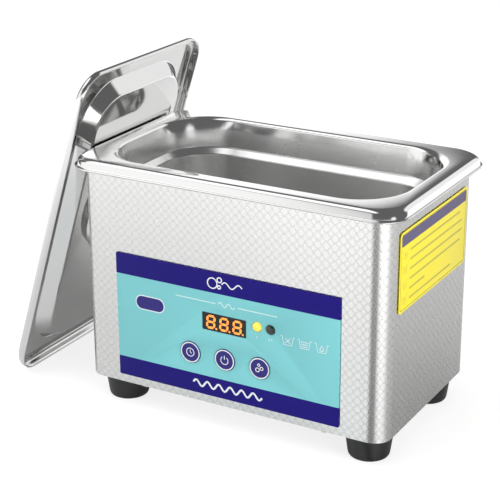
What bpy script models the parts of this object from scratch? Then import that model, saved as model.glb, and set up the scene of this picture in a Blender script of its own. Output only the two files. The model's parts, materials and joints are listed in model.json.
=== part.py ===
"""Bench-top ultrasonic cleaner with its lift-off lid leaning on the left side.

All sizes are millimetres in the constants and become metres in the helpers.
The cleaner stands on its feet at z = 0 with its front towards -Y; its rim is centred on the
parent empty, which is shifted so that the whole model is centred on the world origin.
"""
import math

import bmesh
import bpy
from mathutils import Matrix, Vector

MM = 0.001
GAP = 0.3                      # running gap between neighbouring pieces
MODEL_SHIFT = (22.75, -2.85)    # centres the rim and the leaning lid together on the origin
CORNER_STEPS = 5               # facets in each rounded corner
WELD = 0.00001                 # merge distance of the modifiers, in metres

# Rim and housing
RIM_HALF = (88.0, 54.0)        # half of the 176 x 108 gastronorm 1/9 rim
RIM_TOP = 128.0
LIP_Z = 123.5
SHEET = 0.8
HOUSING_HALF = (82.0, 49.5)
HOUSING_RADIUS = 9.0
HOUSING_BOTTOM = 14.0
HOUSING_TOP = 123.1
FRONT_Y = -HOUSING_HALF[1]
PLATE_THICKNESS = 1.0

# Tank: rim half length, corner radius and height of each section, lip to floor.
# Every section is 34 mm less in half width than in half length.
WIDTH_DROP = RIM_HALF[0] - RIM_HALF[1]
TANK_SECTIONS = (
    (88.0, 13.4, 123.5), (87.1, 12.6, 123.9), (86.7, 12.2, 124.8), (86.3, 12.0, 126.4),
    (85.9, 11.8, 127.3), (85.2, 11.3, 127.85), (84.3, 10.8, RIM_TOP),
    (78.2, 28.5, RIM_TOP), (77.2, 28.2, 127.7), (76.6, 28.0, 126.8), (76.2, 27.8, 125.0),
    (75.5, 27.2, 113.5), (75.0, 26.8, 111.9), (74.0, 26.0, 110.8), (73.0, 25.2, 109.9),
    (72.5, 24.8, 108.0), (70.0, 23.0, 72.0), (69.0, 22.5, 67.0), (66.6, 21.0, 63.6),
    (62.5, 18.5, 62.0),
)
TANK_FLOOR = 62.0

# Front panel
PANEL_X = (-62.0, 59.5)
PANEL_Z = (18.4, 83.1)
PANEL_THICKNESS = 0.5
PANEL_BACK = FRONT_Y - GAP
PANEL_FRONT = PANEL_BACK - PANEL_THICKNESS
WINDOW_CENTRE = (-1.45, 57.4)
WINDOW_SIZE = (23.7, 8.8)
LED_Z = 60.1
LEDS = {"indicator_led_lit": 16.4, "indicator_led_dark": 23.6}
LED_RADIUS = 2.3
KEY_Z = 39.2
KEYS = {"time": -20.3, "power": -1.25, "degas": 17.8}
KEY_RADIUS = 5.5
KEY_TRAVEL = 0.5
BOARD_FRONT = -41.0
BOARD_THICKNESS = 1.6

# Warning label on the right side
LABEL_Y = (-38.5, 39.0)
LABEL_Z = (75.0, 114.0)

# Feet and base fasteners
FOOT_CENTRE = (67.8, 34.2)
FOOT_HEIGHT = HOUSING_BOTTOM - GAP
BASE_SCREW = (50.0, 44.5)

# Transducer, on the tank's centre line
STACK_RADIUS = 19.0
STACK_TOP = TANK_FLOOR - SHEET - GAP

# Power inlet, in the rear wall
INLET_CENTRE = (45.0, 38.0)
INLET_SIZE = (27.0, 19.6)
INLET_FACE_Y = HOUSING_HALF[1] + 2.5
INLET_DEPTH = 20.0
INLET_FLANGE_HALF = (24.0, 11.0)
INLET_RECESS = ((-11.6, -7.8), (11.6, -7.8), (11.6, 3.0), (7.0, 7.8), (-7.0, 7.8), (-11.6, 3.0))
INLET_RECESS_DEPTH = 14.5
INLET_PINS = {"live": (7.0, -2.4), "neutral": (-7.0, -2.4), "earth": (0.0, 2.4)}
INLET_SCREW_REACH = 19.5       # screws to the left and right of the socket

# Driver board and what stands on it: (size, centre of its underside)
BOARD_X = -50.0
BOARD_SIZE = (50.0, 72.0)
RAIL_SIZE = (48.0, 4.0, 5.0)
RAIL_Y = 27.0
TRANSFORMER = ((20.0, 22.0, 17.0), (-58.0, -18.0))
FILM_CAPACITOR = ((8.0, 14.0, 12.0), (-36.0, -24.0))
FUSE_HOLDER = ((6.0, 18.0, 6.0), (-68.5, 26.0))
MAIN_CAPACITOR_AT = (-62.0, 8.0)
MAIN_CAPACITOR = ((0.0, 24.0), (7.2, 24.0), (8.0, 23.2), (8.0, 0.0), (0.0, 0.0))
COIL_AT = (-38.0, 27.0)
COIL_RADII = (7.2, 3.4)
COIL_RAISE = 3.6
HEATSINK_AT = (-38.0, 2.0)
HEATSINK_LENGTH = 20.0
FIN_HALF_SPAN = 12.0
FIN_PITCH = 4.5
FIN_THICKNESS = 1.5
FIN_HEIGHT = 16.0
FIN_BASE = 2.5

# Lid: long side up, underside towards the cleaner, a millimetre smaller all round than the rim
LID_HALF = (87.0, 53.0)
LID_SKIRT = 4.3
LID_LEAN = math.radians(17.4)
LID_STEP = 6.5                 # how far the underside's inner panel stands proud
LID_PANEL = SHEET - LID_STEP   # outer side of that panel
LID_SECTIONS = (
    (87.0, 13.0, -LID_SKIRT), (87.0, 13.0, -1.6), (86.6, 12.7, -0.5), (85.9, 12.2, 0.3),
    (84.8, 11.5, SHEET), (78.2, 23.6, SHEET), (76.9, 23.2, 0.2), (76.2, 22.8, -0.8),
    (72.4, 19.2, -4.6), (71.4, 18.4, -5.4), (70.2, 17.6, LID_PANEL),
)
WELL_SECTIONS = ((25.0, LID_PANEL), (23.8, -6.6), (22.2, -10.4), (20.4, -12.2), (17.6, -13.0))
LID_BACK_X = -133.43           # flange plane of the lid where it meets the floor
LID_BOTTOM_Z = 1.29
LID_CENTRE_Y = 6.7

# Strap handle across the finger well
STRAP_WIDTH = 12.0
STRAP_THICKNESS = 1.5
STRAP_ENDS = (30.0, 25.0)      # outer and inner end of each foot
STRAP_TOP = 3.4
STRAP_TOP_HALF = 18.0

PARTS = bpy.data.collections.new("ultrasonic_cleaner")
CUTTERS = bpy.data.collections.new("cutters")
MATERIALS = {}
ORIGIN = None


def clear_scene():
    """Empty the scene and link the two collections."""
    for old in list(bpy.data.objects):
        bpy.data.objects.remove(old, do_unlink=True)
    bpy.context.scene.collection.children.link(PARTS)
    bpy.context.scene.collection.children.link(CUTTERS)


def material(name, colour, roughness, metallic=0.0):
    """Make one Principled material, once."""
    if name not in MATERIALS:
        made = bpy.data.materials.new(name)
        made.use_nodes = True
        shader = made.node_tree.nodes["Principled BSDF"]
        shader.inputs["Base Color"].default_value = (*colour, 1.0)
        shader.inputs["Roughness"].default_value = roughness
        shader.inputs["Metallic"].default_value = metallic
        MATERIALS[name] = made
    return MATERIALS[name]


def steel():
    return material("polished_steel", (0.76, 0.76, 0.75), 0.18, 1.0)


def embossed_steel():
    return material("embossed_steel", (0.72, 0.72, 0.71), 0.35, 1.0)


def plated_steel():
    return material("plated_steel", (0.62, 0.62, 0.60), 0.32, 1.0)


def black_plastic():
    return material("black_plastic", (0.02, 0.02, 0.02), 0.45)


def rubber():
    return material("rubber", (0.025, 0.025, 0.025), 0.6)


def board_green():
    return material("circuit_board", (0.02, 0.16, 0.07), 0.45)


def aluminium():
    return material("aluminium", (0.80, 0.80, 0.82), 0.3, 1.0)


def ceramic():
    return material("ceramic", (0.35, 0.34, 0.30), 0.6)


def brass():
    return material("brass", (0.76, 0.57, 0.28), 0.3, 1.0)


def finish(obj, look):
    """Give a part its material, and put it in the parts collection."""
    obj.data.materials.append(look)
    for home in list(obj.users_collection):
        home.objects.unlink(obj)
    PARTS.objects.link(obj)
    obj.parent = ORIGIN
    return obj


def from_bmesh(name, bm):
    """Turn a bmesh into an object with smooth sides and sharp edges."""
    mesh = bpy.data.meshes.new(name)
    bm.normal_update()
    bm.to_mesh(mesh)
    bm.free()
    mesh.shade_smooth()
    mesh.set_sharp_from_angle(angle=math.radians(35))
    return bpy.data.objects.new(name, mesh)


def box(name, size, centre, look, bevel=0.0):
    """Rectangular block by size and centre."""
    bm = bmesh.new()
    bmesh.ops.create_cube(bm, size=1.0)
    bmesh.ops.scale(bm, vec=Vector(size) * MM, verts=bm.verts)
    obj = finish(from_bmesh(name, bm), look)
    obj.location = Vector(centre) * MM
    if bevel:
        add_bevel(obj, bevel)
    return obj


def add_bevel(obj, width, segments=2):
    edges = obj.modifiers.new("rounded_edges", "BEVEL")
    edges.width = width * MM
    edges.segments = segments
    edges.limit_method = "ANGLE"


def cylinder(name, radius, length, centre, look, axis="Z", steps=24):
    """Plain cylinder along an axis."""
    bm = bmesh.new()
    bmesh.ops.create_cone(bm, cap_ends=True, segments=steps, radius1=radius * MM,
                          radius2=radius * MM, depth=length * MM)
    turn = {"Z": Matrix(), "X": Matrix.Rotation(math.pi / 2, 4, "Y"),
            "Y": Matrix.Rotation(math.pi / 2, 4, "X")}[axis]
    bmesh.ops.transform(bm, matrix=turn, verts=bm.verts)
    obj = finish(from_bmesh(name, bm), look)
    obj.location = Vector(centre) * MM
    return obj


def turned(name, profile, look, place, turn=(0.0, 0.0, 0.0), steps=20):
    """Spin a closed profile of (radius, height) points, outer side top to bottom."""
    bm = bmesh.new()
    points = [bm.verts.new((radius * MM, 0.0, height * MM)) for radius, height in profile]
    closed = profile[0][0] > 0
    for first, second in zip(points, points[1:] + points[:1] if closed else points[1:]):
        bm.edges.new((first, second))
    obj = finish(from_bmesh(name, bm), look)
    spin = obj.modifiers.new("spin", "SCREW")
    spin.axis = "Z"
    spin.steps = steps
    spin.render_steps = steps
    spin.use_merge_vertices = True
    spin.merge_threshold = WELD
    spin.use_smooth_shade = True
    obj.location = Vector(place) * MM
    obj.rotation_euler = turn
    return obj


def ring_points(half_x, half_y, radius, height, steps=CORNER_STEPS):
    """Points of a rounded rectangle, anticlockwise seen from above."""
    points = []
    for quarter, (side_x, side_y) in enumerate(((1, 1), (-1, 1), (-1, -1), (1, -1))):
        for step in range(steps + 1):
            angle = math.pi / 2 * (quarter + step / steps)
            points.append(Vector((side_x * (half_x - radius) + radius * math.cos(angle),
                                  side_y * (half_y - radius) + radius * math.sin(angle),
                                  height)) * MM)
    return points


def loft(name, rings, look, close_end=False, close_loop=False):
    """Skin a stack of rings, from the first to the last."""
    bm = bmesh.new()
    rows = [[bm.verts.new(point) for point in ring] for ring in rings]
    pairs = list(zip(rows, rows[1:]))
    if close_loop:
        pairs.append((rows[-1], rows[0]))
    for upper, lower in pairs:
        for index in range(len(upper)):
            after = (index + 1) % len(upper)
            bm.faces.new((upper[index], lower[index], lower[after], upper[after]))
    if close_end:
        bm.faces.new(rows[-1][::-1])
    bmesh.ops.remove_doubles(bm, verts=bm.verts, dist=WELD)
    bmesh.ops.dissolve_degenerate(bm, edges=bm.edges, dist=WELD)
    bmesh.ops.recalc_face_normals(bm, faces=bm.faces)
    return finish(from_bmesh(name, bm), look)


def thicken(obj, thickness, offset=-1.0):
    shell = obj.modifiers.new("sheet", "SOLIDIFY")
    shell.thickness = thickness * MM
    shell.offset = offset
    shell.use_even_offset = True


def outline_curve(name, loops, thickness, look):
    """Flat plate from closed outlines in XY; the loops after the first are holes."""
    curve = bpy.data.curves.new(name, "CURVE")
    curve.dimensions = "2D"
    curve.fill_mode = "BOTH"
    curve.extrude = thickness / 2 * MM
    for loop in loops:
        spline = curve.splines.new("POLY")
        spline.points.add(len(loop) - 1)
        for point, (x, y) in zip(spline.points, loop):
            point.co = (x * MM, y * MM, 0.0, 1.0)
        spline.use_cyclic_u = True
    return finish(bpy.data.objects.new(name, curve), look)


def rounded_outline(x_range, y_range, radius, steps=4):
    """Rounded rectangle between two corners, as (x, y) points."""
    centre_x, centre_y = sum(x_range) / 2, sum(y_range) / 2
    ring = ring_points((x_range[1] - x_range[0]) / 2, (y_range[1] - y_range[0]) / 2,
                       radius, 0.0, steps)
    return [(point.x / MM + centre_x, point.y / MM + centre_y) for point in ring]


def circle_outline(centre, radius, steps=24):
    return [(centre[0] + radius * math.cos(2 * math.pi * step / steps),
             centre[1] + radius * math.sin(2 * math.pi * step / steps))
            for step in range(steps)]


def stand_facing_front(obj, mid_y):
    """Turn a plate drawn in XY so that it stands in XZ, centred on mid_y."""
    obj.rotation_euler = (math.pi / 2, 0.0, 0.0)
    obj.location = (0.0, mid_y * MM, 0.0)


def cut(obj, cutter, operation="DIFFERENCE"):
    """Boolean one piece by a hidden cutter."""
    PARTS.objects.unlink(cutter)
    CUTTERS.objects.link(cutter)
    cutter.hide_render = True
    cutter.display_type = "WIRE"
    boolean = obj.modifiers.new("cut", "BOOLEAN")
    boolean.operation = operation
    boolean.solver = "EXACT"
    boolean.object = cutter


def wire(name, points, radius, look):
    """Round wire through a smooth curve of (x, y, z) points."""
    curve = bpy.data.curves.new(name, "CURVE")
    curve.dimensions = "3D"
    curve.bevel_depth = radius * MM
    curve.bevel_resolution = 2
    curve.use_fill_caps = True
    route = smooth_route([Vector(point) for point in points], 4)
    spline = curve.splines.new("POLY")
    spline.points.add(len(route) - 1)
    for point, place in zip(spline.points, route):
        point.co = (*(place * MM), 1.0)
    return finish(bpy.data.objects.new(name, curve), look)


def smooth_route(points, steps):
    """Catmull-Rom curve through the points."""
    padded = [points[0] * 2 - points[1]] + points + [points[-1] * 2 - points[-2]]
    route = []
    for before, start, end, after in zip(padded, padded[1:], padded[2:], padded[3:]):
        for step in range(steps):
            t = step / steps
            route.append(0.5 * (2 * start + (end - before) * t
                                + (2 * before - 5 * start + 4 * end - after) * t ** 2
                                + (3 * start - before - 3 * end + after) * t ** 3))
    route.append(points[-1])
    return route


# ---------------------------------------------------------------- casing

def make_tank():
    """Pressed tank with the rim, a stacking shoulder and a rounded floor."""
    rings = [ring_points(half, half - WIDTH_DROP, radius, height)
             for half, radius, height in TANK_SECTIONS]
    tank = loft("tank", rings, steel(), close_end=True)
    flip_up(tank)
    thicken(tank, SHEET)


def flip_up(obj):
    """Make the largest flat face point up, so that Solidify grows downwards."""
    bm = bmesh.new()
    bm.from_mesh(obj.data)
    widest = max(bm.faces, key=lambda face: face.calc_area() * abs(face.normal.z))
    if widest.normal.z < 0:
        bmesh.ops.reverse_faces(bm, faces=bm.faces)
    bm.to_mesh(obj.data)
    bm.free()


def make_housing():
    """Wrapped sheet sleeve with the openings of the panel and the inlet."""
    half_x, half_y = HOUSING_HALF
    inner = HOUSING_RADIUS - SHEET
    rings = [
        ring_points(half_x, half_y, HOUSING_RADIUS, HOUSING_TOP),
        ring_points(half_x, half_y, HOUSING_RADIUS, HOUSING_BOTTOM),
        ring_points(half_x - SHEET, half_y - SHEET, inner, HOUSING_BOTTOM),
        ring_points(half_x - SHEET, half_y - SHEET, inner, HOUSING_TOP),
    ]
    housing = loft("housing_shell", rings, embossed_steel(), close_loop=True)
    for cutter in front_opening_cutters(FRONT_Y, 4.0):
        cut(housing, cutter)
    width, height = INLET_SIZE
    cut(housing, box("cut_inlet", (width + 0.8, 6.0, height + 0.8),
                     (INLET_CENTRE[0], HOUSING_HALF[1], INLET_CENTRE[1]), steel()))
    for side in (-1, 1):
        cut(housing, cylinder(f"cut_housing_screw_{side}", 1.9, 6.0,
                              (INLET_CENTRE[0] + side * INLET_SCREW_REACH, HOUSING_HALF[1],
                               INLET_CENTRE[1]), steel(), "Y", 12))


def front_opening_cutters(at_y, depth):
    """Cutters for the window, the lamps and the keys."""
    width, height = WINDOW_SIZE
    cutters = [box("cut_window", (width + 2 * GAP, depth, height + 2 * GAP),
                   (WINDOW_CENTRE[0], at_y, WINDOW_CENTRE[1]), steel())]
    for name, x in LEDS.items():
        cutters.append(cylinder(f"cut_{name}", LED_RADIUS + GAP, depth,
                                (x, at_y, LED_Z), steel(), "Y", 20))
    for name, x in KEYS.items():
        cutters.append(cylinder(f"cut_{name}", KEY_RADIUS + GAP, depth,
                                (x, at_y, KEY_Z), steel(), "Y", 28))
    return cutters


def make_bottom_plate():
    """Base plate with vent slots and screw holes."""
    margin = SHEET + GAP
    half_x, half_y = HOUSING_HALF[0] - margin, HOUSING_HALF[1] - margin
    loops = [rounded_outline((-half_x, half_x), (-half_y, half_y), HOUSING_RADIUS - margin)]
    for side in (-1, 1):
        for row in range(5):
            y = (row - 2) * 8.0
            x_near, x_far = sorted((side * 26.0, side * 44.0))
            loops.append(rounded_outline((x_near, x_far), (y - 1.5, y + 1.5), 1.4, 3))
    for x in (-1, 1):
        for y in (-1, 1):
            loops.append(circle_outline((x * FOOT_CENTRE[0], y * FOOT_CENTRE[1]), 2.4, 12))
            loops.append(circle_outline((x * BASE_SCREW[0], y * BASE_SCREW[1]), 1.8, 12))
    plate = outline_curve("bottom_plate", loops, PLATE_THICKNESS, plated_steel())
    plate.location.z = (HOUSING_BOTTOM + PLATE_THICKNESS / 2) * MM


def make_base_strips():
    """Angle strips inside the sleeve that take the base screws."""
    low = HOUSING_BOTTOM + PLATE_THICKNESS + GAP
    inside = HOUSING_HALF[1] - SHEET - GAP
    for name, side in (("front", -1), ("rear", 1)):
        outline = [(inside, low), (inside, low + 7.0), (inside - 1.2, low + 7.0),
                   (inside - 1.2, low + 1.2), (inside - 8.0, low + 1.2), (inside - 8.0, low)]
        strip = outline_curve(f"base_strip_{name}", [outline], 116.0, plated_steel())
        strip.rotation_euler = (math.pi / 2, 0.0, math.pi / 2 if side > 0 else -math.pi / 2)
        solid = curve_to_mesh(strip)
        for x in (-BASE_SCREW[0], BASE_SCREW[0]):
            cut(solid, cylinder(f"cut_strip_{name}_{x:+.0f}", 1.8, 6.0,
                                (x, side * BASE_SCREW[1], low), steel(), "Z", 12))


def curve_to_mesh(obj):
    """Replace a curve object by its welded mesh."""
    bpy.context.view_layer.update()
    graph = bpy.context.evaluated_depsgraph_get()
    name = obj.name
    mesh = bpy.data.meshes.new_from_object(obj.evaluated_get(graph))
    bm = bmesh.new()
    bm.from_mesh(mesh)
    bmesh.ops.remove_doubles(bm, verts=bm.verts, dist=WELD)
    bm.to_mesh(mesh)
    bm.free()
    local = obj.matrix_basis.copy()
    bpy.data.objects.remove(obj, do_unlink=True)
    solid = bpy.data.objects.new(name, mesh)
    PARTS.objects.link(solid)
    solid.parent = ORIGIN
    solid.matrix_basis = local
    return solid


def make_gasket():
    """Rubber ring between the sleeve's top edge and the rim."""
    half_x, half_y = HOUSING_HALF
    low, high = HOUSING_TOP + GAP, RIM_TOP - SHEET - GAP
    rings = [
        ring_points(half_x - 0.2, half_y - 0.2, 8.8, high),
        ring_points(half_x - 0.2, half_y - 0.2, 8.8, low),
        ring_points(half_x - 2.6, half_y - 2.6, 6.4, low),
        ring_points(half_x - 2.6, half_y - 2.6, 6.4, high),
    ]
    loft("rim_gasket", rings, rubber(), close_loop=True)


def make_feet():
    """Four tapered rubber feet with their screws."""
    foot_profile = [(11.5, FOOT_HEIGHT), (11.4, 11.0), (10.0, 1.6), (9.4, 0.5), (8.4, 0.0),
                    (5.2, 0.0), (5.2, 6.0), (2.3, 6.0), (2.3, FOOT_HEIGHT)]
    screw_profile = [(0.0, 18.5), (1.9, 18.5), (1.9, 5.7), (4.3, 5.7), (4.3, 4.2),
                     (3.4, 3.2), (0.0, 3.2)]
    for y_name, y in (("front", -1), ("rear", 1)):
        for x_name, x in (("left", -1), ("right", 1)):
            place = (x * FOOT_CENTRE[0], y * FOOT_CENTRE[1], 0.0)
            turned(f"foot_{y_name}_{x_name}", foot_profile, rubber(), place)
            turned(f"foot_screw_{y_name}_{x_name}", screw_profile, plated_steel(), place,
                   steps=16)


def make_base_screws():
    """Pan-head screws that hold the plate to the strips."""
    profile = [(0.0, 19.5), (1.4, 19.5), (1.4, 13.7), (2.9, 13.7), (2.9, 12.8), (2.2, 12.0),
               (0.0, 12.0)]
    for y_name, y in (("front", -1), ("rear", 1)):
        for x_name, x in (("left", -1), ("right", 1)):
            turned(f"base_screw_{y_name}_{x_name}", profile, plated_steel(),
                   (x * BASE_SCREW[0], y * BASE_SCREW[1], 0.0), steps=14)


def make_label():
    """Sticker on the right side."""
    outline = rounded_outline(LABEL_Y, LABEL_Z, 2.2)
    label = outline_curve("warning_label", [outline], 0.3,
                          material("label_yellow", (0.85, 0.78, 0.08), 0.4))
    label.rotation_euler = (math.pi / 2, 0.0, math.pi / 2)
    label.location.x = (HOUSING_HALF[0] + GAP + 0.15) * MM


# ---------------------------------------------------------------- front panel

def make_overlay():
    """Printed panel with openings for the window, the lamps and the keys."""
    width, height = WINDOW_SIZE
    x, z = WINDOW_CENTRE
    loops = [rounded_outline(PANEL_X, PANEL_Z, 0.5, 2),
             rounded_outline((x - width / 2 - GAP, x + width / 2 + GAP),
                             (z - height / 2 - GAP, z + height / 2 + GAP), 0.3, 2)]
    loops += [circle_outline((at, LED_Z), LED_RADIUS + GAP, 20) for at in LEDS.values()]
    loops += [circle_outline((at, KEY_Z), KEY_RADIUS + GAP, 28) for at in KEYS.values()]
    overlay = outline_curve("front_overlay", loops, PANEL_THICKNESS,
                            material("panel_teal", (0.24, 0.60, 0.60), 0.35))
    stand_facing_front(overlay, (PANEL_FRONT + PANEL_BACK) / 2)


def make_display():
    """Window, digit module, lamps and the board that carries them."""
    width, height = WINDOW_SIZE
    x, z = WINDOW_CENTRE
    window_depth = 1.5
    box("display_window", (width, window_depth, height),
        (x, PANEL_FRONT + window_depth / 2, z),
        material("dark_acrylic", (0.01, 0.01, 0.01), 0.08), 0.2)
    module_front = FRONT_Y + SHEET + GAP
    module_depth = BOARD_FRONT - GAP - module_front
    box("display_module", (22.6, module_depth, 14.0),
        (x, module_front + module_depth / 2, z), black_plastic(), 0.4)
    lens_back = BOARD_FRONT - GAP
    length = lens_back - PANEL_FRONT
    lens_profile = [(0.0, length + 1.0), (1.2, length + 0.7), (2.0, length + 0.1),
                    (LED_RADIUS, length - 0.8), (LED_RADIUS, 0.0), (0.0, 0.0)]
    looks = {"indicator_led_lit": material("lens_amber", (0.95, 0.62, 0.08), 0.15),
             "indicator_led_dark": material("lens_dark", (0.03, 0.05, 0.03), 0.15)}
    for name, at in LEDS.items():
        turned(name, lens_profile, looks[name], (at, lens_back, LED_Z),
               (math.pi / 2, 0.0, 0.0), 20)
    box("display_board", (108.0, BOARD_THICKNESS, 46.0),
        (-1.25, BOARD_FRONT + BOARD_THICKNESS / 2, 51.0), board_green())
    post_length = BOARD_FRONT - GAP - module_front
    for name, at in (("left", -52.0), ("right", 49.5)):
        cylinder(f"board_post_{name}", 3.0, post_length,
                 (at, module_front + post_length / 2, 45.0), brass(), "Y", 6)


def make_keys():
    """Three keys, each above its own tact switch."""
    cap_front = PANEL_FRONT - 0.3
    stem_back = -45.4
    cap_back = FRONT_Y + SHEET + GAP
    profile = [(0.0, cap_front), (KEY_RADIUS - 0.4, cap_front), (KEY_RADIUS, cap_front + 0.4),
               (KEY_RADIUS, cap_back), (6.6, cap_back), (6.6, cap_back + 1.0),
               (2.0, cap_back + 1.0), (2.0, stem_back), (0.0, stem_back)]
    heights = [(radius, cap_front - y) for radius, y in profile]
    switch_depth = 3.5
    for name, at in KEYS.items():
        turned(f"key_{name}", heights, material("key_blue", (0.02, 0.01, 0.20), 0.35),
               (at, cap_front, KEY_Z), (math.pi / 2, 0.0, 0.0), 28)
        box(f"switch_{name}", (6.0, switch_depth, 6.0),
            (at, BOARD_FRONT - GAP - switch_depth / 2, KEY_Z), black_plastic(), 0.3)


# ---------------------------------------------------------------- transducer and driver

def make_transducer():
    """Bolted stack under the tank floor."""
    hole = 4.3
    front = 14.0
    ring = 4.3
    tab = 0.6
    back = 12.0
    top = STACK_TOP
    turned("transducer_front_mass",
           [(0.0, top), (21.0, top), (21.0, top - 5.0), (STACK_RADIUS, top - 8.0),
            (STACK_RADIUS, top - front), (hole, top - front), (hole, top - 3.5),
            (0.0, top - 3.5)], aluminium(), (0.0, 0.0, 0.0), steps=24)
    level = top - front - GAP
    for name in ("piezo_ring_upper", "electrode_plate", "piezo_ring_lower"):
        thickness = tab if name == "electrode_plate" else ring
        look = brass() if name == "electrode_plate" else ceramic()
        radius = STACK_RADIUS + (0.6 if name == "electrode_plate" else 0.0)
        turned(name, [(6.0, level), (radius, level), (radius, level - thickness),
                      (6.0, level - thickness)], look, (0.0, 0.0, 0.0), steps=24)
        level -= thickness + GAP
    turned("transducer_back_mass",
           [(hole, level), (STACK_RADIUS, level), (STACK_RADIUS, level - back + 1.0),
            (STACK_RADIUS - 1.0, level - back), (hole, level - back)],
           plated_steel(), (0.0, 0.0, 0.0), steps=24)
    head = level - back - GAP
    turned("transducer_bolt",
           [(0.0, top - 5.0), (3.9, top - 5.0), (3.9, head), (6.5, head), (6.5, head - 5.0),
            (6.0, head - 5.5), (0.0, head - 5.5)], plated_steel(), (0.0, 0.0, 0.0), steps=20)


def on_board(name, part, top, look):
    """A component that stands on the driver board."""
    size, (x, y) = part
    box(name, size, (x, y, top + size[2] / 2), look, 0.8)


def make_driver():
    """Driver board on two rails, with its large components."""
    floor = HOUSING_BOTTOM + PLATE_THICKNESS + GAP
    rail = RAIL_SIZE[2]
    for name, y in (("front", -RAIL_Y), ("rear", RAIL_Y)):
        box(f"board_rail_{name}", RAIL_SIZE, (BOARD_X, y, floor + rail / 2), black_plastic())
    under = floor + rail + GAP
    box("driver_board", (*BOARD_SIZE, BOARD_THICKNESS),
        (BOARD_X, 0.0, under + BOARD_THICKNESS / 2), board_green())
    top = under + BOARD_THICKNESS + GAP
    on_board("transformer", TRANSFORMER, top, material("ferrite", (0.16, 0.15, 0.14), 0.7))
    on_board("capacitor_film", FILM_CAPACITOR, top,
             material("film_red", (0.45, 0.10, 0.05), 0.4))
    on_board("fuse_holder", FUSE_HOLDER, top, material("fuse_ivory", (0.70, 0.66, 0.55), 0.4))
    turned("capacitor_main", MAIN_CAPACITOR, material("sleeve_grey", (0.08, 0.09, 0.12), 0.4),
           (*MAIN_CAPACITOR_AT, top), steps=20)
    ring, thick = COIL_RADII
    facets = 10
    coil = [(ring + thick * math.cos(math.pi / 2 - 2 * math.pi * step / facets),
             COIL_RAISE + thick * math.sin(math.pi / 2 - 2 * math.pi * step / facets))
            for step in range(facets)]
    turned("inductor", coil, material("copper", (0.75, 0.35, 0.18), 0.35, 1.0),
           (*COIL_AT, top), steps=20)
    make_heatsink(top)


def make_heatsink(top):
    """Finned block; the outline is drawn from the right-hand fin to the left."""
    fins = [(-FIN_HALF_SPAN, 0.0), (FIN_HALF_SPAN, 0.0)]
    count = 6
    for fin in range(count):
        edge = FIN_HALF_SPAN - fin * FIN_PITCH
        fins += [(edge, FIN_HEIGHT), (edge - FIN_THICKNESS, FIN_HEIGHT)]
        if fin < count - 1:
            fins += [(edge - FIN_THICKNESS, FIN_BASE), (edge - FIN_PITCH, FIN_BASE)]
    sink = outline_curve("heatsink", [fins], HEATSINK_LENGTH, aluminium())
    sink.rotation_euler = (math.pi / 2, 0.0, math.pi / 2)
    sink.location = Vector((*HEATSINK_AT, top)) * MM


def make_inlet():
    """Appliance inlet with its recess, pins and screws."""
    width, height = INLET_SIZE
    x, z = INLET_CENTRE
    wall = HOUSING_HALF[1]
    inlet = box("power_inlet", (width, INLET_DEPTH, height),
                (x, INLET_FACE_Y - INLET_DEPTH / 2, z), black_plastic())
    half_x, half_z = INLET_FLANGE_HALF
    flange = outline_curve("cut_inlet_flange",
                           [rounded_outline((-half_x, half_x), (-half_z, half_z), 4.0)],
                           INLET_FACE_Y - wall - GAP, black_plastic())
    stand_facing_front(flange, (INLET_FACE_Y + wall + GAP) / 2)
    flange.location.x, flange.location.z = x * MM, z * MM
    cut(inlet, curve_to_mesh(flange), "UNION")
    over = 0.5
    recess = outline_curve("cut_inlet_recess", [INLET_RECESS], INLET_RECESS_DEPTH + over,
                           black_plastic())
    stand_facing_front(recess, INLET_FACE_Y + (over - INLET_RECESS_DEPTH) / 2)
    recess.location.x, recess.location.z = x * MM, z * MM
    cut(inlet, curve_to_mesh(recess))
    for side in (-1, 1):
        cut(inlet, cylinder(f"cut_inlet_screw_{side}", 1.9, 20.0,
                            (x + side * INLET_SCREW_REACH, wall, z), steel(), "Y", 12))
    pin_length = 8.0
    pin_middle = INLET_FACE_Y - INLET_RECESS_DEPTH + GAP + pin_length / 2
    for name, (at_x, at_z) in INLET_PINS.items():
        box(f"inlet_pin_{name}", (2.0, pin_length, 4.0), (x + at_x, pin_middle, z + at_z), brass())
    profile = [(0.0, 1.6), (1.8, 1.6), (3.2, 0.6), (3.2, 0.0), (1.6, 0.0), (1.6, -8.0),
               (0.0, -8.0)]
    for name, side in (("left", 1), ("right", -1)):
        turned(f"inlet_screw_{name}", profile, plated_steel(),
               (x + side * INLET_SCREW_REACH, INLET_FACE_Y + GAP, z), (-math.pi / 2, 0.0, 0.0), 14)


def make_wiring():
    """Insulated leads between the boards, the inlet and the stack."""
    red = material("wire_red", (0.45, 0.03, 0.03), 0.45)
    black = material("wire_black", (0.02, 0.02, 0.02), 0.45)
    grey = material("ribbon_grey", (0.45, 0.45, 0.45), 0.5)
    wire("transducer_lead_live", [(-25.0, -30.0, 24.0), (-22.5, -27.0, 30.0),
                                  (-19.0, -21.0, 38.0), (-14.5, -15.5, 41.7)], 0.9, red)
    wire("transducer_lead_return", [(-25.0, 16.0, 24.0), (-24.0, 19.0, 30.0),
                                    (-22.0, 22.0, 40.0), (-17.5, 18.5, 50.0)], 0.9, black)
    wire("mains_harness", [(45.0, 31.0, 38.0), (44.5, 28.5, 37.6), (42.0, 26.0, 27.0),
                           (18.0, 30.0, 20.5), (-6.0, 31.0, 21.0), (-22.0, 31.0, 24.5)],
         2.2, black)
    wire("ribbon_cable", [(-40.0, -39.0, 38.0), (-40.0, -37.0, 37.8), (-40.0, -35.5, 34.0),
                          (-40.0, -34.0, 24.0)], 1.0, grey)


# ---------------------------------------------------------------- lid

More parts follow.
